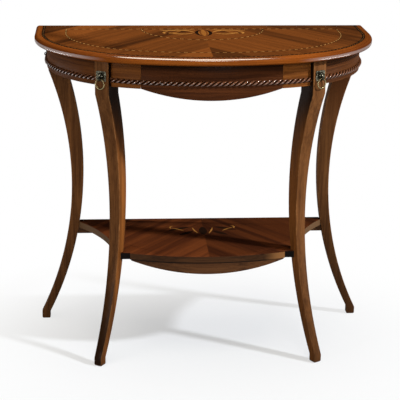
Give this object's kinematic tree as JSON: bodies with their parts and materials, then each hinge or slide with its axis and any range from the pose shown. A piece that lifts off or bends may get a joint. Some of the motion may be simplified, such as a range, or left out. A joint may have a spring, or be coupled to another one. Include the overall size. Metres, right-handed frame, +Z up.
{
  "type": "demilune side table",
  "caption": "Half-moon side table with sabre legs, marquetry top with rounded edge, bowed apron with rope moulding and centre drawer, hanging ring mounts and a low shelf.",
  "frame": {"origin": "on the floor under the middle of the top", "axes": "+X to the right seen from the front, +Y to the flat back that stands against a wall, +Z up"},
  "size_m": [0.88, 0.4739, 0.8077],
  "materials": {
    "marquetry_veneer": "polished marquetry of light and dark veneers",
    "walnut_solid": "stained and lacquered to a soft gloss",
    "carved_rope": "carved, stained and lacquered",
    "drawer_veneer": "dark veneer, soft gloss",
    "inner_beech": "plain planed wood",
    "antique_brass": "cast, darkened and rubbed bright on the high spots",
    "screw_steel": "plain steel"
  },
  "bodies": {
    "frame": {"top_veneer": "marquetry_veneer", "shelf_veneer": "marquetry_veneer", "top_edge_moulding": "walnut_solid", "side_apron_left": "walnut_solid", "side_apron_right": "walnut_solid", "front_apron_left": "walnut_solid", "front_apron_right": "walnut_solid", "leg_front_left": "walnut_solid", "leg_front_right": "walnut_solid", "leg_rear_left": "walnut_solid", "leg_rear_right": "walnut_solid", "shelf_valance": "walnut_solid", "shelf_back_rail": "walnut_solid", "shelf_core": "walnut_solid", "side_rope_left": "carved_rope", "side_rope_right": "carved_rope", "front_rope_left": "carved_rope", "front_rope_right": "carved_rope", "top_core": "inner_beech", "back_rail": "inner_beech", "front_top_rail": "inner_beech", "corner_blocks": "inner_beech", "apron_dowels": "inner_beech", "drawer_runner_left": "inner_beech", "drawer_runner_right": "inner_beech", "drawer_stops": "inner_beech", "shelf_dowels": "inner_beech", "plate_pins": "antique_brass", "ring_plate_front_left": "antique_brass", "ring_plate_front_right": "antique_brass", "ring_plate_rear_left": "antique_brass", "ring_plate_rear_right": "antique_brass", "top_screws": "screw_steel"},
    "drawer": {"drawer_front": "drawer_veneer", "drawer_rope": "carved_rope", "drawer_side_left": "inner_beech", "drawer_side_right": "inner_beech", "drawer_back": "inner_beech", "drawer_bottom": "inner_beech"},
    "ring_front_left": {"ring_front_left": "antique_brass"},
    "ring_front_right": {"ring_front_right": "antique_brass"},
    "ring_rear_left": {"ring_rear_left": "antique_brass"},
    "ring_rear_right": {"ring_rear_right": "antique_brass"}
  },
  "joints": [
    {"name": "drawer_slide", "type": "slide", "parent": "frame", "child": "drawer", "axis": [0, -1, 0], "range_m": [0, 0.2]},
    {"name": "ring_front_left_swing", "type": "hinge", "parent": "frame", "child": "ring_front_left", "pos_m": [-0.27139, -0.16117, 0.7438], "axis": [-0.848, 0.5299, 0], "range_deg": [-8, 150]},
    {"name": "ring_front_right_swing", "type": "hinge", "parent": "frame", "child": "ring_front_right", "pos_m": [0.27139, -0.16117, 0.7438], "axis": [-0.848, -0.5299, 0], "range_deg": [-8, 150]},
    {"name": "ring_rear_left_swing", "type": "hinge", "parent": "frame", "child": "ring_rear_left", "pos_m": [-0.414, 0.17033, 0.7438], "axis": [0, 1, 0], "range_deg": [-8, 150]},
    {"name": "ring_rear_right_swing", "type": "hinge", "parent": "frame", "child": "ring_rear_right", "pos_m": [0.414, 0.17033, 0.7438], "axis": [0, -1, 0], "range_deg": [-8, 150]}
  ]
}
